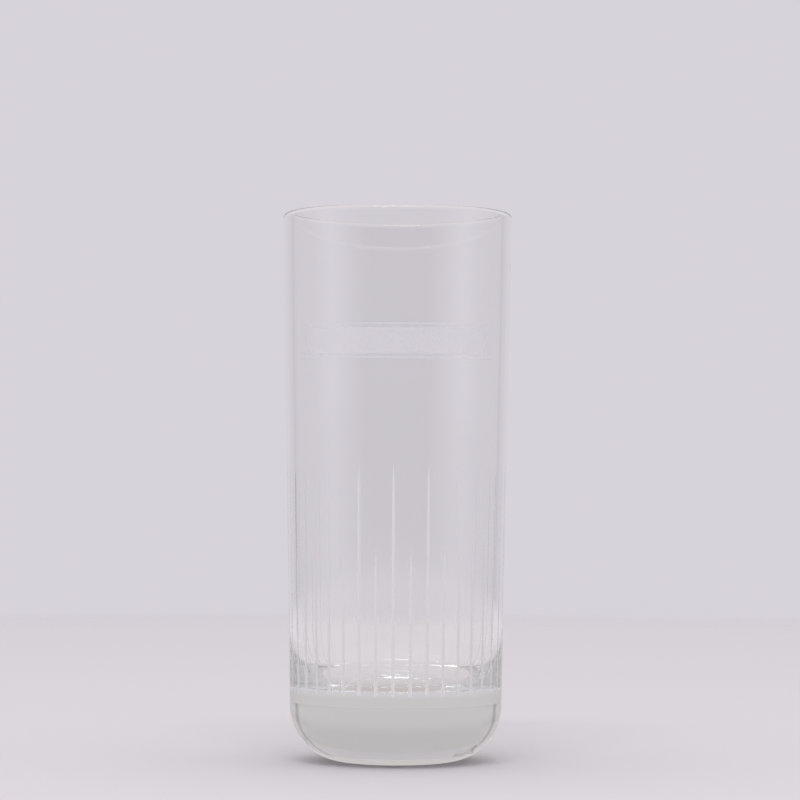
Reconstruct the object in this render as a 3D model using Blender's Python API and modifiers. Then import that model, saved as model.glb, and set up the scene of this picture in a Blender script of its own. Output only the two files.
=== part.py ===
"""A highball glass: a tall tapered tumbler with a heavy base, ground cut lines and a satin print.

The body is one turned piece of glass. Its profile runs from the inner floor up the inside,
over the fire-polished lip and down the outside to the underside. Forty V-shaped cut lines,
long and short by turns, are ground into the lower wall. The print is a plain satin band
between two thin rule lines, fired on to the front of the wall. Front is -Y, up is +Z.
"""

import math

import bmesh
import bpy
from mathutils import Matrix

# The turned body, in metres
GLASS_HEIGHT = 0.150
RIM_RADIUS = 0.0314
FOOT_RADIUS = 0.0287  # where the outer wall line meets the table, before the corner is rounded
WALL_THICKNESS = 0.0026
BASE_THICKNESS = 0.0200  # underside to inner floor
BASE_CORNER_RADIUS = 0.0152
FLOOR_FILLET_RADIUS = 0.0100
HOLLOW_RADIUS = 0.0115  # shallow hollow of the underside, so that the glass stands on a ring
HOLLOW_DEPTH = 0.0008

# The ground cut lines
CUT_COUNT = 40
FRONT_CUT_ANGLE = math.radians(-1.5)  # from straight in front to the nearest long cut
CUT_FOOT_DROP = 0.0003  # how far the cuts end below the level of the inner floor
LONG_CUT_LENGTH = 0.0610
SHORT_CUT_LENGTH = 0.0384
CUT_FOOT_WIDTH = 0.0010
CUT_TOP_WIDTH = 0.0006
CUT_POINT_LENGTH = 0.0060  # the upper end runs out to a point over this length

# The satin print
BAND_DEPTH_BELOW_RIM = 0.0327
BAND_WIDTH = 0.0071
RULE_WIDTH = 0.0005
RULE_SPACING = 0.0007  # clear glass between the band and each rule line
PRINT_SPAN = math.radians(121.5)
PRINT_THICKNESS = 0.00015
PRINT_CLEARANCE = 0.0001

# How finely round shapes are faceted
FACETS_PER_CUT = 2
FILLET_SEGMENTS = 7
LIP_SEGMENTS = 8
CORNER_SEGMENTS = 10
HOLLOW_SEGMENTS = 4

WALL_FACETS = CUT_COUNT * FACETS_PER_CUT
FACET_ANGLE = 2 * math.pi / WALL_FACETS
CUT_PITCH = 2 * math.pi / CUT_COUNT
FRONT = math.radians(-90) + FRONT_CUT_ANGLE
WALL_LEAN = math.atan((RIM_RADIUS - FOOT_RADIUS) / GLASS_HEIGHT)
CUT_FOOT_HEIGHT = BASE_THICKNESS - CUT_FOOT_DROP
MERGE_DISTANCE = 0.00001


def clear_scene():
    """Removes whatever the file holds."""
    for thing in list(bpy.data.objects):
        bpy.data.objects.remove(thing)


def new_collection(name):
    """A collection of the scene for the pieces or for the cutters."""
    collection = bpy.data.collections.new(name)
    bpy.context.scene.collection.children.link(collection)
    return collection


def outer_radius(height):
    """Radius of the outer wall line at a height, the base corner left aside."""
    return FOOT_RADIUS + height * math.tan(WALL_LEAN)


def inner_radius(height):
    """Radius of the inner wall line: the wall is as thick as said, measured square to it."""
    return outer_radius(height) - WALL_THICKNESS / math.cos(WALL_LEAN)


def arc(centre_radius, centre_height, radius, start, end, segments):
    """Profile points on an arc, angles measured from straight outwards, both ends included."""
    points = []
    for step in range(segments + 1):
        angle = start + (end - start) * step / segments
        points.append((centre_radius + radius * math.cos(angle), centre_height + radius * math.sin(angle)))
    return points


def corner_arc(wall_radius, level, radius, segments):
    """Rounds the corner between a level face and the leaning wall, from the face up to the wall.

    wall_radius is the wall line's radius at that level.
    """
    centre_radius = wall_radius - radius * (1 - math.sin(WALL_LEAN)) / math.cos(WALL_LEAN)
    return arc(centre_radius, level + radius, radius, math.radians(-90), -WALL_LEAN, segments)


def lip_arc():
    """The half-round lip, from the inner wall over the top to the outer wall."""
    lip_radius = WALL_THICKNESS / 2
    centre_height = GLASS_HEIGHT - lip_radius
    centre_radius = (outer_radius(centre_height) + inner_radius(centre_height)) / 2
    return arc(centre_radius, centre_height, lip_radius, math.pi - WALL_LEAN, -WALL_LEAN, LIP_SEGMENTS)


def hollow_arc():
    """The underside's shallow hollow, from its edge up to the axis."""
    sphere_radius = (HOLLOW_RADIUS**2 + HOLLOW_DEPTH**2) / (2 * HOLLOW_DEPTH)
    edge_angle = math.asin(HOLLOW_RADIUS / sphere_radius)
    start = math.radians(90) - edge_angle
    return arc(0, HOLLOW_DEPTH - sphere_radius, sphere_radius, start, math.radians(90), HOLLOW_SEGMENTS)


def body_profile():
    """Half section of the glass, from the middle of the inner floor round to the underside's middle."""
    floor_fillet = corner_arc(
        inner_radius(BASE_THICKNESS), BASE_THICKNESS, FLOOR_FILLET_RADIUS, FILLET_SEGMENTS
    )
    base_corner = corner_arc(outer_radius(0), 0, BASE_CORNER_RADIUS, CORNER_SEGMENTS)
    return [(0, BASE_THICKNESS)] + floor_fillet + lip_arc() + base_corner[::-1] + hollow_arc()


def print_profile(foot_height, width):
    """Straight section of a printed strip, down the outer wall and just clear of it."""
    heights = (foot_height + width, foot_height)
    return [(outer_radius(height) + PRINT_CLEARANCE, height) for height in heights]


def profile_object(name, profile, collection):
    """A line of edges in the XZ plane, ready to be turned about Z."""
    mesh = bpy.data.meshes.new(name)
    line = bmesh.new()
    points = [line.verts.new((radius, 0, height)) for radius, height in profile]
    for above, below in zip(points, points[1:]):
        line.edges.new((above, below))
    line.to_mesh(mesh)
    line.free()
    turned = bpy.data.objects.new(name, mesh)
    collection.objects.link(turned)
    return turned


def turn(piece, span, steps, start):
    """Turns a profile about Z with a Screw modifier, from the start angle on."""
    screw = piece.modifiers.new("turned about the axis", "SCREW")
    screw.angle = span
    screw.steps = screw.render_steps = steps
    screw.screw_offset = 0
    screw.use_smooth_shade = True
    screw.use_merge_vertices = True
    screw.merge_threshold = MERGE_DISTANCE
    piece.rotation_euler.z = start


def finish(piece, colour, roughness, transmission):
    """Gives a piece a material of its own."""
    material = bpy.data.materials.new(piece.name)
    material.use_nodes = True
    shader = material.node_tree.nodes["Principled BSDF"]
    shader.inputs["Base Color"].default_value = (*colour, 1)
    shader.inputs["Roughness"].default_value = roughness
    shader.inputs["Metallic"].default_value = 0
    shader.inputs["Transmission Weight"].default_value = transmission
    shader.inputs["IOR"].default_value = 1.52
    piece.data.materials.append(material)


def add_cut(cutters, length, angle):
    """Adds one cut line's cutter: a four-sided lance on the wall line, a corner towards the axis.

    It narrows from its foot upwards, and its last stretch is drawn out to a point.
    """
    lying_on_wall = (
        Matrix.Rotation(angle, 4, "Z")
        @ Matrix.Translation((outer_radius(CUT_FOOT_HEIGHT), 0, CUT_FOOT_HEIGHT))
        @ Matrix.Rotation(WALL_LEAN, 4, "Y")
    )
    shaft_length = length - CUT_POINT_LENGTH
    shaft = bmesh.ops.create_cone(
        cutters,
        cap_ends=True,
        segments=4,
        radius1=CUT_FOOT_WIDTH / 2,
        radius2=CUT_TOP_WIDTH / 2,
        depth=shaft_length,
        matrix=lying_on_wall @ Matrix.Translation((0, 0, shaft_length / 2)),
    )
    top_cap = max({face for vert in shaft["verts"] for face in vert.link_faces}, key=cap_height)
    bmesh.ops.poke(cutters, faces=[top_cap], offset=CUT_POINT_LENGTH)


def cap_height(face):
    """Height of a face's middle, to tell a cutter's upper cap."""
    return face.calc_center_median().z


def cut_lines_cutter(collection):
    """All the cut lines' cutters in one object, long and short by turns round the wall."""
    cutters = bmesh.new()
    for index in range(CUT_COUNT):
        length = SHORT_CUT_LENGTH if index % 2 else LONG_CUT_LENGTH
        add_cut(cutters, length, FRONT + index * CUT_PITCH)
    bmesh.ops.recalc_face_normals(cutters, faces=cutters.faces)
    mesh = bpy.data.meshes.new("cut_lines_cutter")
    cutters.to_mesh(mesh)
    cutters.free()
    cutter = bpy.data.objects.new("cut_lines_cutter", mesh)
    cutter.hide_render = True
    cutter.display_type = "WIRE"
    collection.objects.link(cutter)
    return cutter


def add_glass_body(pieces, cutters):
    """The glass itself, with a facet of the wall centred on each cut line."""
    body = profile_object("glass_body", body_profile(), pieces)
    turn(body, 2 * math.pi, WALL_FACETS, FRONT + FACET_ANGLE / 2)
    grinding = body.modifiers.new("ground cut lines", "BOOLEAN")
    grinding.operation = "DIFFERENCE"
    grinding.solver = "EXACT"
    grinding.object = cut_lines_cutter(cutters)
    finish(body, colour=(0.94, 0.94, 0.96), roughness=0.02, transmission=1.0)


def add_print(name, foot_height, width, pieces):
    """One strip of the satin print, on as many facets of the wall as its span takes up."""
    facets = round(PRINT_SPAN / FACET_ANGLE)
    span = facets * FACET_ANGLE
    strip = profile_object(name, print_profile(foot_height, width), pieces)
    turn(strip, span, facets, FRONT - span / 2)
    layer = strip.modifiers.new("print thickness", "SOLIDIFY")
    layer.thickness = PRINT_THICKNESS
    layer.offset = 1
    layer.use_even_offset = True
    finish(strip, colour=(0.86, 0.85, 0.88), roughness=0.65, transmission=0.0)


def main():
    """Builds the body, then the three strips of its print."""
    clear_scene()
    pieces = new_collection("highball_glass")
    cutters = new_collection("cutters")
    add_glass_body(pieces, cutters)
    band_foot = GLASS_HEIGHT - BAND_DEPTH_BELOW_RIM - BAND_WIDTH
    add_print("satin_band", band_foot, BAND_WIDTH, pieces)
    add_print("upper_rule_line", band_foot + BAND_WIDTH + RULE_SPACING, RULE_WIDTH, pieces)
    add_print("lower_rule_line", band_foot - RULE_SPACING - RULE_WIDTH, RULE_WIDTH, pieces)


main()
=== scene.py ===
"""Looks of the highball glass: clear body, ground cut lines, satin print and a pale studio."""

import logging
import math
from dataclasses import dataclass
from enum import Enum
from typing import Union

import bmesh
import bpy
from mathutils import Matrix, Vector


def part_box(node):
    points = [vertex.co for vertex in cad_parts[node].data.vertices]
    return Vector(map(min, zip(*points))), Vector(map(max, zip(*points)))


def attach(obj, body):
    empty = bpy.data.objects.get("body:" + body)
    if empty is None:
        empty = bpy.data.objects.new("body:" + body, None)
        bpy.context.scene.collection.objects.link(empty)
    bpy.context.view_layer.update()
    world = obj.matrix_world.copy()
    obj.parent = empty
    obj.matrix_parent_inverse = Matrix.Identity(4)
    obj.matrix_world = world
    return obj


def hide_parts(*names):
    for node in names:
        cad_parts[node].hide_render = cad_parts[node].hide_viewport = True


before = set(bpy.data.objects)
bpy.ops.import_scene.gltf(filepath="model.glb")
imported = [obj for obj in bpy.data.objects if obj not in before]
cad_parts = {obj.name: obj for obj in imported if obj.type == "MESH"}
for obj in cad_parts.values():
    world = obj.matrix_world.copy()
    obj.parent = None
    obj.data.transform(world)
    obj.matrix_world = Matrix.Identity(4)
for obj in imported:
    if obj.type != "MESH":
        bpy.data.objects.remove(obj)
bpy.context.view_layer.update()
ROOT_BODY = "root"

GROUND = "ground"  # face attribute of the cut lines
QUARTER_TURN = math.radians(90)
SMOOTH_ANGLE = math.radians(30)  # edges that bend less are shaded smooth
MERGE_DISTANCE = 1e-6  # points that lie closer are one
ONE_OR_MORE = 0.5  # a count above this isn't 0

log = logging.getLogger("highball_glass")


class Slot(Enum):
    """Names of two material slots, which nothing here uses."""

    GLASS = "clear_glass"
    PRINT = "satin_print"


class Cut(Enum):
    """The two lengths of cut line, which stand by turns round the wall."""

    LONG = 0.0610
    SHORT = 0.0384


class Blend(Enum):
    """Ways in which a second colour joins a first."""

    REPLACE = "MIX"
    MULTIPLY = "MULTIPLY"


@dataclass(frozen=True)
class Tint:
    """A colour in linear light.

    Args:
        red: Share of red.
        green: Share of green.
        blue: Share of blue.
    """

    red: float
    green: float
    blue: float

    def rgba(self) -> tuple[float, float, float, float]:
        """The colour as Blender's sockets take it."""
        return (self.red, self.green, self.blue, 1.0)


Range = tuple[float, float]
Stops = tuple[tuple[float, float], ...]
Output = bpy.types.NodeSocket
Feed = Union[Output, float, Tint]


@dataclass(frozen=True)
class Wiring:
    """Adds nodes to a node tree and links them.

    A Feed is another node's output, which is linked, or a number or colour, which is set on the socket.

    Args:
        tree: Node tree of a material or of the world.
        colour_inputs: Places of a Mix node's two colours among its inputs.
        colour_output: Place of the mixed colour among its outputs.
    """

    tree: bpy.types.NodeTree
    colour_inputs: tuple[int, int] = (6, 7)
    colour_output: int = 2

    def add(self, kind: str) -> bpy.types.Node:
        """Adds a node of a kind."""
        return self.tree.nodes.new(kind)

    def feed(self, socket: bpy.types.NodeSocket, value: Feed) -> None:
        """Links an input or sets its value.

        Args:
            socket: The input.
            value: What it gets.
        """
        if isinstance(value, bpy.types.NodeSocket):
            self.tree.links.new(value, socket)
        elif isinstance(value, Tint):
            socket.default_value = value.rgba()
        else:
            socket.default_value = value

    def part(self, vector: Output, axis: str) -> Output:
        """Takes one coordinate of a vector.

        Args:
            vector: The vector.
            axis: X, Y or Z.

        Returns:
            The coordinate.
        """
        node = self.add("ShaderNodeSeparateXYZ")
        self.feed(node.inputs["Vector"], vector)
        return node.outputs[axis]

    def calculate(self, operation: str, first: Feed, second: Feed = 0) -> Output:
        """Adds a Math node.

        Args:
            operation: The node's operation.
            first: Its first value.
            second: Its second value, where the operation has one.

        Returns:
            The outcome.
        """
        node = self.add("ShaderNodeMath")
        node.operation = operation
        self.feed(node.inputs[0], first)
        self.feed(node.inputs[1], second)
        return node.outputs["Value"]

    def map_range(
        self, value: Output, source: Range = (0, 1), target: tuple[Feed, Feed] = (0, 1), soft: bool = False
    ) -> Output:
        """Carries a value over from one range to another, and holds it at both ends.

        Args:
            value: The value.
            source: The range that it comes from.
            target: The range that it goes to.
            soft: Whether it leaves and reaches the ends gently.

        Returns:
            The new value.
        """
        node = self.add("ShaderNodeMapRange")
        if soft:
            node.interpolation_type = "SMOOTHSTEP"
        self.feed(node.inputs["Value"], value)
        for name, bound in zip(("From Min", "From Max", "To Min", "To Max"), (*source, *target)):
            self.feed(node.inputs[name], bound)
        return node.outputs["Result"]

    def ramp(self, turn: Output, stops: Stops) -> Output:
        """Adds a grey ramp over half a turn.

        Args:
            turn: Where on the ramp, from 0 to 1 for half a turn.
            stops: Angles in degrees and levels.

        Returns:
            The level.
        """
        node = self.add("ShaderNodeValToRGB")
        node.color_ramp.interpolation = "EASE"
        elements = node.color_ramp.elements
        while len(elements) < len(stops):
            elements.new(position=0.5)
        for element, (angle, level) in zip(elements, stops):
            element.position = math.radians(angle) / math.pi
            element.color = (level, level, level, 1)
        self.feed(node.inputs["Fac"], turn)
        return node.outputs["Color"]

    def mix_levels(self, share: Output, first: Feed, second: Feed) -> Output:
        """Goes from one level to another.

        Args:
            share: How much of the second there is.
            first: The level at a share of 0.
            second: The level at a share of 1.

        Returns:
            The level between them.
        """
        node = self.add("ShaderNodeMix")
        for name, value in zip(("Factor", "A", "B"), (share, first, second)):
            self.feed(node.inputs[name], value)
        return node.outputs["Result"]

    def mix_colours(
        self, share: Output, first: Feed, second: Feed, blend: Blend = Blend.REPLACE
    ) -> Output:
        """Goes from one colour to another.

        Args:
            share: How much the second counts.
            first: The colour at a share of 0.
            second: The colour that joins it.
            blend: The way in which it does.

        Returns:
            The mixed colour.
        """
        node = self.add("ShaderNodeMix")
        node.data_type = "RGBA"
        node.blend_type = blend.value
        self.feed(node.inputs["Factor"], share)
        for place, colour in zip(self.colour_inputs, (first, second)):
            self.feed(node.inputs[place], colour)
        return node.outputs[self.colour_output]

    def mix_shaders(self, share: Output, first: Output, second: Output) -> Output:
        """Goes from one shader to another.

        Args:
            share: How much of the second there is.
            first: The shader at a share of 0.
            second: The shader at a share of 1.

        Returns:
            The mixed shader.
        """
        node = self.add("ShaderNodeMixShader")
        for socket, value in zip(node.inputs, (share, first, second)):
            self.feed(socket, value)
        return node.outputs["Shader"]


def new_material(name: str) -> tuple[bpy.types.Material, bpy.types.Node]:
    """Makes a material with a Principled shader.

    Args:
        name: The material's name.

    Returns:
        The material and its Principled node.
    """
    material = bpy.data.materials.new(name)
    material.use_nodes = True
    return material, material.node_tree.nodes["Principled BSDF"]


@dataclass(frozen=True)
class CutGlass:
    """Clear glass with ground cut lines.

    The polished surface is a little wavy, as pressed glass is, and thick places take up a little light.
    The surface below base_top tints what shows through it, so the base looks a little darker and warmer
    than the wall. Faces with the ground attribute have the satin surface that a grinding wheel leaves. They
    scatter light that falls on them from outside, and let through what comes from within.
    """

    name: str = "cut_glass"
    refraction: float = 1.52
    polished_roughness: float = 0.0
    ground_roughness: float = 0.8
    ground_roughness_within: float = 0.14
    ground_clearness: float = 0.2
    ground_colour: Tint = Tint(0.79, 0.78, 0.80)
    body_tint: Tint = Tint(0.50, 0.53, 0.48)
    absorption_density: float = 2.5
    base_tone: Tint = Tint(0.87, 0.87, 0.83)
    wall_tone: Tint = Tint(1.0, 1.0, 1.0)
    base_top: Range = (0.0186, 0.0198)
    wave_scale: float = 38.0
    wave_detail: float = 1.0
    wave_height: float = 0.00002

    def make(self) -> bpy.types.Material:
        """Builds the material.

        Returns:
            The glass.
        """
        material, shader = new_material(self.name)
        shader.inputs["IOR"].default_value = self.refraction
        wiring = Wiring(material.node_tree)
        place = wiring.add("ShaderNodeTexCoord").outputs["Object"]
        self.add_surface(wiring, shader, place)
        self.add_waves(wiring, shader, place)
        depth = wiring.add("ShaderNodeVolumeAbsorption")
        depth.inputs["Color"].default_value = self.body_tint.rgba()
        depth.inputs["Density"].default_value = self.absorption_density
        output = material.node_tree.nodes["Material Output"]
        wiring.feed(output.inputs["Volume"], depth.outputs["Volume"])
        return material

    def add_surface(self, wiring: Wiring, shader: bpy.types.Node, place: Output) -> None:
        """Sets the roughness, clearness and colour of the polished wall, the base and the cut lines.

        Args:
            wiring: The material's nodes.
            shader: Its Principled node.
            place: Where on the piece.
        """
        attribute = wiring.add("ShaderNodeAttribute")
        attribute.attribute_name = GROUND
        ground = attribute.outputs["Fac"]
        within = wiring.add("ShaderNodeNewGeometry").outputs["Backfacing"]
        grain = wiring.map_range(within, target=(self.ground_roughness, self.ground_roughness_within))
        roughness = wiring.map_range(ground, target=(self.polished_roughness, grain))
        milky = wiring.calculate("MULTIPLY", wiring.calculate("SUBTRACT", 1, within), ground)
        clearness = wiring.map_range(milky, target=(1, self.ground_clearness))
        # below base_top the surface tints what passes through it: the base looks a little darker and warmer
        above_base = wiring.map_range(wiring.part(place, "Z"), source=self.base_top)
        tone = wiring.mix_colours(above_base, self.base_tone, self.wall_tone)
        wiring.feed(shader.inputs["Base Color"], wiring.mix_colours(milky, tone, self.ground_colour))
        wiring.feed(shader.inputs["Roughness"], roughness)
        wiring.feed(shader.inputs["Transmission Weight"], clearness)

    def add_waves(self, wiring: Wiring, shader: bpy.types.Node, place: Output) -> None:
        """Makes the surface a little wavy.

        Args:
            wiring: The material's nodes.
            shader: Its Principled node.
            place: Where on the piece.
        """
        waves = wiring.add("ShaderNodeTexNoise")
        waves.inputs["Scale"].default_value = self.wave_scale
        waves.inputs["Detail"].default_value = self.wave_detail
        wiring.feed(waves.inputs["Vector"], place)
        bump = wiring.add("ShaderNodeBump")
        bump.inputs["Strength"].default_value = 1
        bump.inputs["Distance"].default_value = self.wave_height
        wiring.feed(bump.inputs["Height"], waves.outputs["Fac"])
        wiring.feed(shader.inputs["Normal"], bump.outputs["Normal"])


@dataclass(frozen=True)
class SatinEnamel:
    """The satin print: a thin see-through enamel with the fine grain of a fired screen print.

    Only its outer face shows, so that the layer counts once. It fades out towards its two ends, between two
    distances from the middle plane in metres.
    """

    name: str = "satin_enamel"
    colour: Tint = Tint(0.72, 0.70, 0.74)
    roughness: float = 0.7
    cover: Range = (0.46, 0.58)
    grain_scale: float = 5200.0
    grain_levels: Range = (0.3, 0.7)
    fade: Range = (0.0215, 0.0262)

    def make(self) -> bpy.types.Material:
        """Builds the material.

        Returns:
            A pale enamel that covers the glass a little unevenly.
        """
        material, shader = new_material(self.name)
        shader.inputs["Base Color"].default_value = self.colour.rgba()
        shader.inputs["Roughness"].default_value = self.roughness
        wiring = Wiring(material.node_tree)
        place = wiring.add("ShaderNodeTexCoord").outputs["Object"]
        grain = wiring.add("ShaderNodeTexNoise")
        grain.inputs["Scale"].default_value = self.grain_scale
        wiring.feed(grain.inputs["Vector"], place)
        cover = wiring.map_range(grain.outputs["Fac"], self.grain_levels, self.cover)
        inner_face = wiring.add("ShaderNodeNewGeometry").outputs["Backfacing"]
        one_layer = wiring.calculate("MULTIPLY", cover, wiring.calculate("SUBTRACT", 1, inner_face))
        off_middle = wiring.calculate("ABSOLUTE", wiring.part(place, "X"))
        ends = wiring.map_range(off_middle, self.fade, (1, 0), soft=True)
        wiring.feed(shader.inputs["Alpha"], wiring.calculate("MULTIPLY", one_layer, ends))
        return material


def start_piece(name: str, at: Vector) -> bpy.types.Object:
    """Starts a piece as a single point in edit mode, from which its section is drawn.

    Args:
        name: The piece's name.
        at: Where the point lies.

    Returns:
        The new object, in edit mode with its point selected.
    """
    bpy.ops.object.select_all(action="DESELECT")
    bpy.ops.mesh.primitive_plane_add(size=1, location=(0, 0, 0))
    piece = bpy.context.object
    piece.name = piece.data.name = name
    bpy.ops.object.mode_set(mode="EDIT")
    bpy.ops.mesh.select_all(action="SELECT")
    bpy.ops.mesh.merge(type="CENTER")
    bpy.ops.transform.translate(value=at)
    return piece


def draw_line(start: Vector, end: Vector, steps: int) -> None:
    """Draws the section on in a straight line, by extruding its selected end.

    Args:
        start: Where the end lies now.
        end: Where it goes.
        steps: How many edges the line has.
    """
    for _ in range(steps):
        bpy.ops.mesh.extrude_region_move(TRANSFORM_OT_translate={"value": (end - start) / steps})


def draw_flank(start: Vector, end: Vector, steps: int, margin: float) -> None:
    """Draws a straight line with a short edge at each end, so that curves beside it don't bend its shading.

    Args:
        start: Where the end lies now.
        end: Where it goes.
        steps: How many edges the line has between the short ones.
        margin: Length of the short edges.
    """
    inset = (end - start).normalized() * margin
    draw_line(start, start + inset, 1)
    draw_line(start + inset, end - inset, steps)
    draw_line(end - inset, end, 1)


def draw_curve(points: list[Vector]) -> None:
    """Draws the section on through some points, by extruding its selected end from each to the next.

    Args:
        points: The points, of which the first is where the end lies now.
    """
    for start, end in zip(points, points[1:]):
        draw_line(start, end, 1)


def draw_arc(centre: Vector, angle: float, steps: int) -> None:
    """Draws the section on in an arc, by spinning its selected end in the XZ plane.

    Args:
        centre: The arc's centre.
        angle: How far it turns, from +X towards +Z when positive.
        steps: How many edges the arc has.
    """
    bpy.ops.mesh.spin(steps=steps, angle=angle, center=centre, axis=(0, 1, 0))


def spin_round(angle: float, steps: int, copies: bool = False) -> None:
    """Spins everything in the piece about the vertical axis and merges what comes to lie together.

    Args:
        angle: How far, from +X towards +Y when positive. The operator counts the other way.
        steps: How many steps it takes.
        copies: Whether each step is a copy, with nothing drawn between them.
    """
    bpy.ops.mesh.select_all(action="SELECT")
    bpy.ops.mesh.spin(steps=steps, dupli=copies, angle=-angle, center=(0, 0, 0), axis=(0, 0, 1))
    bpy.ops.mesh.select_all(action="SELECT")
    bpy.ops.mesh.remove_doubles(threshold=MERGE_DISTANCE)


def set_in_place(piece: bpy.types.Object, angle: float) -> None:
    """Turns a spun piece's faces outwards, leaves edit mode and turns the piece to its place round the axis.

    Args:
        piece: The piece, in edit mode with everything selected.
        angle: How far it turns, from +X towards +Y when positive.
    """
    bpy.ops.mesh.normals_make_consistent(inside=False)
    bpy.ops.object.mode_set(mode="OBJECT")
    piece.rotation_euler.z = angle
    bpy.ops.object.transform_apply(location=False, rotation=True, scale=False)


def select_only(mesh: bmesh.types.BMesh, points: list[bmesh.types.BMVert]) -> None:
    """Selects some points of the piece in edit mode and nothing else.

    Args:
        mesh: The piece's edit mesh.
        points: What to select.
    """
    bpy.ops.mesh.select_all(action="DESELECT")
    for point in points:
        point.select = True
    mesh.select_flush(True)


@dataclass
class GlassBody:
    """The glass itself: a turned body, modelled as one sector with a long and a short cut and copied round.

    Lengths are in metres, angles in radians. The wall lines lean outwards, and the section is drawn in the
    XZ plane. Fields that end in steps say how many edges a stretch of it has. A sector is columns of faces
    wide, and column_slack is the share of a column by which a point may miss its line.
    """

    height: float
    rim_radius: float = 0.0314
    foot_radius: float = 0.0287
    wall: float = 0.0026
    base: float = 0.0200
    base_corner: float = 0.0152
    floor_curve_width: float = 0.0070
    floor_curve_height: float = 0.0180
    floor_curve_power: float = 2.6
    hollow_radius: float = 0.0115
    hollow_depth: float = 0.0008
    margin: float = 0.0002
    front_cut_angle: float = math.radians(-1.5)
    cut_foot_drop: float = 0.0003
    cut_foot_width: float = 0.0010
    cut_top_width: float = 0.0006
    cut_least_width: float = 0.00006
    cut_run_out: float = 0.0060
    cut_heel: float = 0.0003
    cut_depth_share: float = 0.10
    sectors: int = 20
    columns: int = 24
    column_slack: float = 0.1
    floor_steps: int = 6
    floor_curve_steps: int = 36
    inner_wall_steps: int = 12
    lip_steps: int = 24
    upper_wall_steps: int = 8
    run_out_steps: int = 10
    between_cuts_steps: int = 6
    shaft_steps: int = 10
    lower_wall_steps: int = 2
    base_corner_steps: int = 32
    standing_ring_steps: int = 2
    hollow_steps: int = 10

    def __post_init__(self) -> None:
        """Works out the lean of the wall and the places that follow from it."""
        self.lean = math.atan((self.rim_radius - self.foot_radius) / self.height)
        self.cut_foot = self.base - self.cut_foot_drop
        self.sector_angle = 2 * math.pi / self.sectors
        self.column_angle = self.sector_angle / self.columns
        self.long_column = self.columns // 4
        self.short_column = 3 * self.long_column

    def outer_radius(self, height: float) -> float:
        """Radius of the outer wall line at a height."""
        return self.foot_radius + height * math.tan(self.lean)

    def inner_radius(self, height: float) -> float:
        """Radius of the inner wall line at a height."""
        return self.outer_radius(height) - self.wall / math.cos(self.lean)

    def base_corner_centre(self) -> Vector:
        """Centre of the arc that rounds the corner between the underside and the outer wall."""
        inset = self.base_corner * (1 - math.sin(self.lean)) / math.cos(self.lean)
        return Vector((self.outer_radius(0) - inset, 0, self.base_corner))

    def lip_centre(self) -> Vector:
        """Centre of the half-round lip, in the middle of the wall."""
        level = self.height - self.wall / 2
        return Vector(((self.outer_radius(level) + self.inner_radius(level)) / 2, 0, level))

    def floor_curve(self) -> list[Vector]:
        """The rounding from the inner floor up into the wall: a quarter of a superellipse, tangent to both.

        Returns:
            Its points in the XZ plane, from the floor to the wall.
        """
        corner = Vector((self.inner_radius(self.base), 0, self.base))
        inwards = Vector((-self.floor_curve_width, 0, 0))
        upwards = self.floor_curve_height * Vector((math.sin(self.lean), 0, math.cos(self.lean)))
        bend = 2 / self.floor_curve_power
        steps = self.floor_curve_steps
        turns = [QUARTER_TURN * step / steps for step in range(steps + 1)]
        return [
            corner + inwards * (1 - math.sin(turn) ** bend) + upwards * (1 - math.cos(turn) ** bend)
            for turn in turns
        ]

    def on_arc(self, centre: Vector, radius: float, angle: float) -> Vector:
        """The point of an arc at an angle, measured from straight outwards towards +Z."""
        return centre + radius * Vector((math.cos(angle), 0, math.sin(angle)))

    def wall_levels(self, top: float, foot: float) -> list[tuple[float, int]]:
        """Heights of the outer wall's rings, top to bottom, close together where a cut runs out.

        Args:
            top: Height where the wall begins below the lip.
            foot: Height where it meets the base corner.

        Returns:
            Pairs of a height and the number of steps down to it from the one before.
        """
        long_top = self.cut_foot + Cut.LONG.value
        short_top = self.cut_foot + Cut.SHORT.value
        return [
            (top - self.margin, 1),
            (long_top + self.margin, self.upper_wall_steps),
            (long_top, 1),
            (long_top - self.cut_run_out, self.run_out_steps),
            (short_top + self.margin, self.between_cuts_steps),
            (short_top, 1),
            (short_top - self.cut_run_out, self.run_out_steps),
            (self.cut_foot + self.cut_heel, self.shaft_steps),
            (self.cut_foot, 1),
            (self.cut_foot - self.margin, 1),
            (foot + self.margin, self.lower_wall_steps),
            (foot, 1),
        ]

    def draw_outer_wall(self, top: Vector, foot: Vector) -> None:
        """Draws the section's outer wall, ring by ring.

        Args:
            top: Where the wall begins below the lip.
            foot: Where it meets the base corner.
        """
        here = top
        for level, steps in self.wall_levels(top.z, foot.z):
            there = Vector((self.outer_radius(level), 0, level))
            draw_line(here, there, steps)
            here = there

    def draw_section(self) -> bpy.types.Object:
        """Draws the half section from the floor's middle, over the lip, to the underside's middle.

        Returns:
            The piece, in edit mode.
        """
        floor_middle = Vector((0, 0, self.base))
        floor_curve = self.floor_curve()
        lip, lip_radius = self.lip_centre(), self.wall / 2
        corner = self.base_corner_centre()
        piece = start_piece("clear_glass_body", floor_middle)
        draw_flank(floor_middle, floor_curve[0], self.floor_steps, self.margin)
        draw_curve(floor_curve)
        inner_top = self.on_arc(lip, lip_radius, math.pi - self.lean)
        draw_flank(floor_curve[-1], inner_top, self.inner_wall_steps, self.margin)
        draw_arc(lip, -math.pi, self.lip_steps)
        outer_top = self.on_arc(lip, lip_radius, -self.lean)
        self.draw_outer_wall(outer_top, self.on_arc(corner, self.base_corner, -self.lean))
        draw_arc(corner, self.lean - QUARTER_TURN, self.base_corner_steps)
        self.draw_underside(self.on_arc(corner, self.base_corner, -QUARTER_TURN))
        return piece

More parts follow.
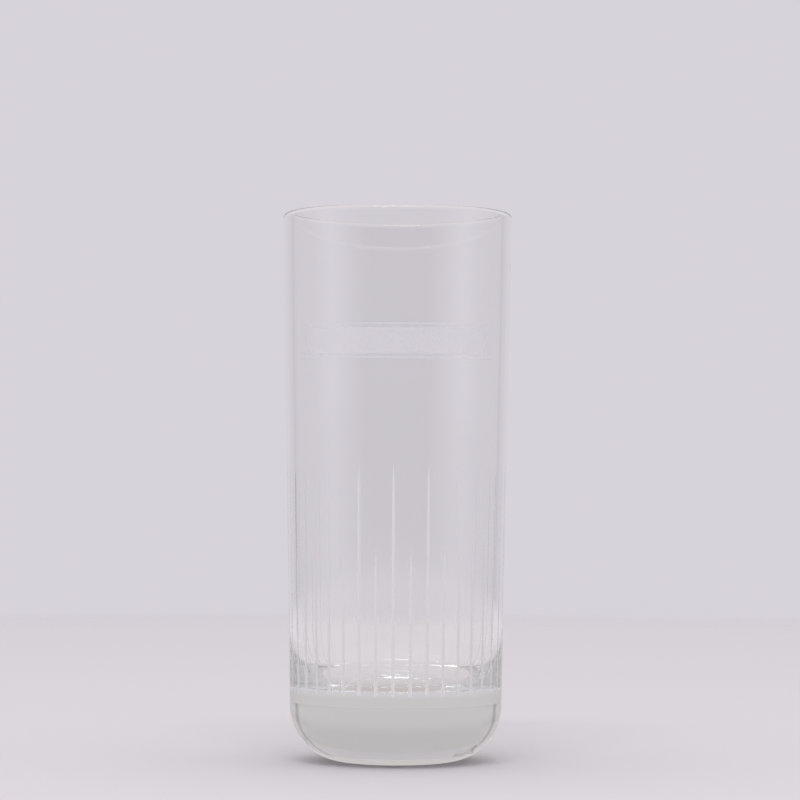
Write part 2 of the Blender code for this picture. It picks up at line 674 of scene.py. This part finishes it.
    def draw_underside(self, edge: Vector) -> None:
        """Draws the section's underside: the flat standing ring, then the shallow hollow up to the axis.

        Args:
            edge: Where the base corner ends.
        """
        sphere = (self.hollow_radius**2 + self.hollow_depth**2) / (2 * self.hollow_depth)
        draw_flank(edge, Vector((self.hollow_radius, 0, 0)), self.standing_ring_steps, self.margin)
        middle = Vector((0, 0, self.hollow_depth - sphere))
        draw_arc(middle, math.asin(self.hollow_radius / sphere), self.hollow_steps)

    def wall_column(
        self, mesh: bmesh.types.BMesh, angle: float, foot: float, top: float
    ) -> list[bmesh.types.BMVert]:
        """Points of the outer wall in one column between two heights.

        Args:
            mesh: The sector's edit mesh.
            angle: The column's angle about the axis.
            foot: Lowest height.
            top: Highest height.

        Returns:
            The points found.
        """
        near = self.column_slack * self.column_angle
        found = []
        for point in mesh.verts:
            x, y, z = point.co
            on_wall = math.hypot(x, y) >= self.outer_radius(z) - MERGE_DISTANCE
            within = foot - MERGE_DISTANCE < z < top + MERGE_DISTANCE
            if on_wall and within and abs(math.atan2(y, x) - angle) < near:
                found.append(point)
        return found

    def run_out(self, height: float, top: float) -> float:
        """How much of a cut is left at a height: the wheel leaves the wall along a curve, 1 to 0."""
        past = max(0.0, height - (top - self.cut_run_out)) / self.cut_run_out
        return max(0.0, 1 - past * past)

    def cut_width(self, height: float, top: float) -> float:
        """Width of a cut at a height, least at its upper end.

        Args:
            height: The height.
            top: Height of the cut's upper end.

        Returns:
            The width.
        """
        share = (height - self.cut_foot) / (top - self.cut_foot)
        shaft = self.cut_foot_width + share * (self.cut_top_width - self.cut_foot_width)
        return max(self.cut_least_width, shaft * self.run_out(height, top))

    def cut_depth(self, height: float, top: float) -> float:
        """Depth of a cut at a height: a share of its width, and none at its two ends."""
        heel = min(1.0, (height - self.cut_foot) / self.cut_heel)
        return heel * self.run_out(height, top) * self.cut_width(height, top) * self.cut_depth_share

    def carve_cut(self, mesh: bmesh.types.BMesh, cut: Cut, column: int) -> list[bmesh.types.BMVert]:
        """Carves one cut line into the sector: its middle goes in, its borders to the cut's width.

        Args:
            mesh: The sector's edit mesh.
            cut: The kind of cut line.
            column: The column of points that becomes its middle.

        Returns:
            The points of its middle that were pushed in.
        """
        top = self.cut_foot + cut.value
        angle = column * self.column_angle
        inwards = Vector((-math.cos(angle), -math.sin(angle), 0))
        sideways = Vector((-math.sin(angle), math.cos(angle), 0))
        middle = self.wall_column(mesh, angle, self.cut_foot, top)
        for side in (-1, 1):
            for point in self.wall_column(mesh, angle + side * self.column_angle, self.cut_foot, top):
                width = self.cut_width(point.co.z, top)
                place = self.outer_radius(point.co.z) * math.sin(self.column_angle)
                select_only(mesh, [point])
                bpy.ops.transform.translate(value=sideways * side * (width / 2 - place))
        for point in middle:
            select_only(mesh, [point])
            bpy.ops.transform.translate(value=inwards * self.cut_depth(point.co.z, top))
        return middle

    def mark_ground(
        self, mesh: bmesh.types.BMesh, ground: bmesh.types.BMLayerItem, carved: list[bmesh.types.BMVert]
    ) -> None:
        """Marks the faces of the cut lines as ground, with a sharp edge round them.

        Args:
            mesh: The sector's edit mesh.
            ground: Its face attribute for them.
            carved: The points that the cuts pushed in.
        """
        for face in mesh.faces:
            face[ground] = float(any(point in carved for point in face.verts))
        for edge in mesh.edges:
            edge.smooth = len({face[ground] for face in edge.link_faces}) < 2

    def build(self) -> bpy.types.Object:
        """Models the body: section, sector, cuts, then the sector copied round the axis.

        Returns:
            The finished mesh.
        """
        piece = self.draw_section()
        spin_round(self.sector_angle, self.columns)
        mesh = bmesh.from_edit_mesh(piece.data)
        ground = mesh.faces.layers.float.new(GROUND)
        carved = self.carve_cut(mesh, Cut.LONG, self.long_column)
        carved += self.carve_cut(mesh, Cut.SHORT, self.short_column)
        self.mark_ground(mesh, ground, carved)
        more = self.sectors - 1
        spin_round(more * self.sector_angle, more, copies=True)
        set_in_place(piece, self.front_cut_angle - self.long_column * self.column_angle)
        bpy.ops.object.shade_smooth_by_angle(angle=SMOOTH_ANGLE)
        return piece

    def dress(self) -> bpy.types.Object:
        """Builds the body, gives it its glass and sets it in the CAD node's place.

        Returns:
            The finished piece.
        """
        piece = self.build()
        piece.data.materials.append(CutGlass().make())
        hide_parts("glass_body")
        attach(piece, ROOT_BODY)
        return piece


@dataclass
class PrintStrip:
    """One strip of the satin print, a thin layer on the outer wall.

    Lengths are in metres, angles in radians.
    """

    name: str
    node: str
    body: GlassBody
    foot: float
    width: float
    half_span: float = math.radians(60.75)
    clearance: float = 0.00004
    thickness: float = 0.00006
    steps: int = 160
    rings: int = 4

    def on_wall(self, height: float) -> Vector:
        """The point just clear of the outer wall at a height, in the XZ plane."""
        return Vector((self.body.outer_radius(height) + self.clearance, 0, height))

    def build(self) -> bpy.types.Object:
        """Spins a short line of the wall into a strip and gives it its thickness.

        Returns:
            The finished mesh.
        """
        top = self.on_wall(self.foot + self.width)
        piece = start_piece(self.name, top)
        draw_line(top, self.on_wall(self.foot), self.rings)
        spin_round(2 * self.half_span, self.steps)
        set_in_place(piece, self.body.front_cut_angle - QUARTER_TURN - self.half_span)
        layer = piece.modifiers.new("layer", "SOLIDIFY")
        layer.thickness = self.thickness
        layer.offset = 1
        bpy.ops.object.modifier_apply(modifier=layer.name)
        bpy.ops.object.shade_smooth_by_angle(angle=SMOOTH_ANGLE)
        return piece

    def dress(self, finish: bpy.types.Material) -> bpy.types.Object:
        """Builds the strip, gives it its enamel and sets it in the CAD node's place.

        Args:
            finish: The enamel.

        Returns:
            The finished piece.
        """
        piece = self.build()
        piece.data.materials.append(finish)
        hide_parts(self.node)
        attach(piece, ROOT_BODY)
        return piece


@dataclass
class Studio:
    """A pale floor that fades into a plain surround, a soft lamp and the camera.

    The camera sees an even surround, and matt surfaces get even daylight. The glass mirrors a room that is
    dark at the front: upper_room and lower_room give its levels above and below the horizon, by the angle
    from straight in front. It is bright below room_foot and above room_head, and nowhere under the level
    dark_side, except for light that is mirrored just once within the glass. The surround that shows through
    the glass has a darker gap beside the backdrop, and loses shade_loss of its light over upper_shade. The
    floor that the glass shows isn't lit: it glows in painted colours and has no cast shadow. floor_glow is
    its colour, floor_in_base a painted colour that it has only straight through the base, and floor_shade a
    painted shadow that darkens it towards the front within shaded_reach of the axis.

    Lengths are in metres, those of the lens and the sensor in millimetres, and angles in degrees. Heights in
    the room are those of a direction of length 1.
    """

    surround: Tint = Tint(0.679, 0.650, 0.697)
    daylight: Tint = Tint(0.95, 0.95, 0.95)
    upper_room: Stops = (
        (33, 0.0), (49, 0.40), (62, 0.72), (77, 1.0), (93, 0.76),
        (112, 0.66), (130, 0.78), (150, 0.92), (170, 1.0),
    )
    lower_room: Stops = (
        (33, 0.0), (49, 0.28), (62, 0.46), (77, 0.66), (93, 0.62),
        (112, 0.62), (130, 0.76), (150, 0.92), (170, 1.0),
    )
    horizon: Range = (-0.015, 0.003)
    room_foot: Range = (-0.095, -0.028)
    room_head: Range = (0.10, 0.30)
    dark_side: float = 0.30
    backdrop_gap: Stops = ((114, 1.0), (118, 0.6), (120, 0.6), (124, 1.0))
    upper_shade: Range = (0.07, 0.18)
    shade_loss: float = 0.105
    floor_colour: Tint = Tint(0.69, 0.655, 0.69)
    floor_roughness: float = 0.9
    floor_gloss: float = 0.1
    floor_glow: Tint = Tint(0.720, 0.680, 0.710)
    # painted colour of the floor, only where it is seen straight through the base
    floor_in_base: Tint = Tint(0.728, 0.698, 0.742)
    base_surfaces: int = 2
    # painted shadow on the floor that the glass shows, under the front of the base
    floor_shade: Tint = Tint(0.77, 0.755, 0.70)
    shaded_front: Range = (-0.022, 0.016)
    shaded_reach: Range = (0.032, 0.045)
    floor_radius: float = 1.2
    floor_corners: int = 128
    floor_gap: float = 0.0001
    floor_fade: Range = (0.70, 0.95)
    lamp_place: tuple[float, float, float] = (-0.05, -0.60, 0.95)
    lamp_width: float = 0.60
    lamp_depth: float = 0.10
    lamp_power: float = 2.2
    camera_distance: float = 0.8156
    camera_height: float = 0.0754
    lens: float = 133.65
    sensor: float = 36.0
    tilt: float = 1.64
    pan: float = 0.066
    roll: float = -0.24
    bounces: int = 256

    def build(self) -> None:
        """Sets up everything that isn't the glass."""
        self.add_world()
        self.add_floor()
        self.add_lamp()
        self.add_camera()
        scene = bpy.context.scene
        scene.view_settings.view_transform = "Standard"
        scene.cycles.max_bounces = self.bounces
        scene.cycles.glossy_bounces = self.bounces
        scene.cycles.transmission_bounces = self.bounces
        scene.cycles.transparent_max_bounces = self.bounces

    def turn_from_front(self, wiring: Wiring, direction: Output) -> Output:
        """How far a direction is turned from straight in front, 0 to 1 for half a turn.

        Args:
            wiring: The world's nodes.
            direction: The direction.

        Returns:
            The share of half a turn.
        """
        front = wiring.add("ShaderNodeVectorMath")
        front.operation = "DOT_PRODUCT"
        wiring.feed(front.inputs[0], direction)
        front.inputs[1].default_value = (0, -1, 0)
        angle = wiring.calculate("ARCCOSINE", front.outputs["Value"])
        return wiring.calculate("DIVIDE", angle, math.pi)

    def mirrored_level(self, wiring: Wiring, turn: Output, height: Output, least: Output) -> Output:
        """Level of the room that the glass mirrors.

        Args:
            wiring: The world's nodes.
            turn: How far round from straight in front.
            height: How high in the room.
            least: The level that it doesn't go below.

        Returns:
            The level.
        """
        above = wiring.map_range(height, self.horizon, soft=True)
        lower = wiring.ramp(turn, self.lower_room)
        upper = wiring.ramp(turn, self.upper_room)
        room = wiring.calculate("MAXIMUM", wiring.mix_levels(above, lower, upper), least)
        foot = wiring.map_range(height, self.room_foot, (1, 0), soft=True)
        head = wiring.map_range(height, self.room_head, soft=True)
        return wiring.calculate("MAXIMUM", room, wiring.calculate("MAXIMUM", foot, head))

    def seen_level(self, wiring: Wiring, turn: Output, height: Output) -> Output:
        """Level of the surround that shows through the glass.

        Args:
            wiring: The world's nodes.
            turn: How far round from straight in front.
            height: How high in the room.

        Returns:
            The level.
        """
        shade = wiring.map_range(height, self.upper_shade, soft=True)
        lost = wiring.calculate("MULTIPLY", shade, self.shade_loss)
        gap = wiring.ramp(turn, self.backdrop_gap)
        return wiring.calculate("MULTIPLY", gap, wiring.calculate("SUBTRACT", 1, lost))

    def add_world(self) -> None:
        """The pale surround, with the room that the glass mirrors."""
        world = bpy.data.worlds.new("pale_surround")
        world.use_nodes = True
        wiring = Wiring(world.node_tree)
        direction = wiring.add("ShaderNodeTexCoord").outputs["Generated"]
        turn = self.turn_from_front(wiring, direction)
        height = wiring.part(direction, "Z")
        path = wiring.add("ShaderNodeLightPath").outputs
        within = wiring.calculate("GREATER_THAN", path["Transmission Depth"], ONE_OR_MORE)
        by_mirror = wiring.calculate("GREATER_THAN", path["Glossy Depth"], ONE_OR_MORE)
        once = wiring.calculate("COMPARE", path["Glossy Depth"], 1)
        others = wiring.calculate("SUBTRACT", 1, wiring.calculate("MULTIPLY", once, within))
        least = wiring.calculate("MULTIPLY", others, self.dark_side)
        mirrored = self.mirrored_level(wiring, turn, height, least)
        seen = wiring.mix_levels(within, 1, self.seen_level(wiring, turn, height))
        colour = wiring.mix_colours(path["Is Diffuse Ray"], self.surround, self.daylight)
        background = world.node_tree.nodes["Background"]
        wiring.feed(background.inputs["Color"], colour)
        wiring.feed(background.inputs["Strength"], wiring.mix_levels(by_mirror, seen, mirrored))
        bpy.context.scene.world = world

    def shown_floor(self, wiring: Wiring, place: Output, reach: Output, depth: Output) -> Output:
        """The floor as the glass shows it: it glows, unlit and without a cast shadow, and has a painted
        shadow under the front of the base.

        Args:
            wiring: The floor's nodes.
            place: Where on the floor.
            reach: How far from the axis.
            depth: How many surfaces the light has passed.

        Returns:
            Its shader.
        """
        # painted colour: the floor seen straight through the base glows in a colour of its own
        in_base = wiring.calculate("COMPARE", depth, self.base_surfaces)
        colour = wiring.mix_colours(in_base, self.floor_glow, self.floor_in_base)
        # painted shadow: the floor darkens towards the front, near the axis, under the base
        front = wiring.map_range(wiring.part(place, "Y"), self.shaded_front, (1, 0), soft=True)
        near = wiring.map_range(reach, self.shaded_reach, (1, 0), soft=True)
        shaded = wiring.calculate("MULTIPLY", front, near)
        glow = wiring.add("ShaderNodeEmission")
        wiring.feed(
            glow.inputs["Color"], wiring.mix_colours(shaded, colour, self.floor_shade, Blend.MULTIPLY)
        )
        return glow.outputs["Emission"]

    def floor_finish(self) -> bpy.types.Material:
        """Builds the floor's material.

        Returns:
            A matt pale finish that is clear at the floor's far edge.
        """
        material, shader = new_material("pale_floor")
        shader.inputs["Base Color"].default_value = self.floor_colour.rgba()
        shader.inputs["Roughness"].default_value = self.floor_roughness
        shader.inputs["Specular IOR Level"].default_value = self.floor_gloss
        wiring = Wiring(material.node_tree)
        place = wiring.add("ShaderNodeTexCoord").outputs["Object"]
        distance = wiring.add("ShaderNodeVectorMath")
        distance.operation = "LENGTH"
        wiring.feed(distance.inputs[0], place)
        reach = distance.outputs["Value"]
        path = wiring.add("ShaderNodeLightPath").outputs
        in_glass = wiring.calculate("MAXIMUM", path["Is Glossy Ray"], path["Is Transmission Ray"])
        shown = self.shown_floor(wiring, place, reach, path["Transmission Depth"])
        floor = wiring.mix_shaders(in_glass, shader.outputs["BSDF"], shown)
        clear = wiring.add("ShaderNodeBsdfTransparent").outputs["BSDF"]
        fade = wiring.map_range(reach, self.floor_fade, soft=True)
        output = material.node_tree.nodes["Material Output"]
        wiring.feed(output.inputs["Surface"], wiring.mix_shaders(fade, floor, clear))
        return material

    def add_floor(self) -> None:
        """A round pale floor whose far edge fades into the surround."""
        bpy.ops.object.select_all(action="DESELECT")
        bpy.ops.mesh.primitive_circle_add(
            vertices=self.floor_corners,
            radius=self.floor_radius,
            fill_type="NGON",
            location=(0, 0, -self.floor_gap),
        )
        floor = bpy.context.object
        floor.name = "floor"
        floor.data.materials.append(self.floor_finish())

    def add_lamp(self) -> None:
        """A long soft lamp above and in front, for fine lights along the lip and the inner floor's edge."""
        bpy.ops.object.light_add(type="AREA", location=self.lamp_place)
        lamp = bpy.context.object
        lamp.name = "top_lamp"
        lamp.data.shape = "RECTANGLE"
        lamp.data.size = self.lamp_width
        lamp.data.size_y = self.lamp_depth
        lamp.data.energy = self.lamp_power
        lamp.rotation_euler = (-lamp.location).to_track_quat("-Z", "Y").to_euler()

    def add_camera(self) -> None:
        """The camera at half the glass's height, tilted up so that the glass stands low in the picture."""
        bpy.ops.object.camera_add(location=(0, -self.camera_distance, self.camera_height))
        camera = bpy.context.object
        camera.data.lens = self.lens
        camera.data.sensor_width = self.sensor
        upright = QUARTER_TURN + math.radians(self.tilt)
        camera.rotation_euler = (upright, math.radians(self.roll), math.radians(-self.pan))
        bpy.context.scene.camera = camera


def main() -> None:
    """Builds the glass, its print and the studio, in that order."""
    logging.basicConfig(level=logging.INFO)
    body = GlassBody(height=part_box("glass_body")[1].z)
    log.info("piece %s", body.dress().name)
    enamel = SatinEnamel().make()
    for node in ("satin_band", "upper_rule_line", "lower_rule_line"):
        low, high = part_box(node)
        strip = PrintStrip(f"{node}_print", node, body, low.z, high.z - low.z)
        log.info("piece %s", strip.dress(enamel).name)
    Studio().build()


if __name__ == "__main__":
    main()
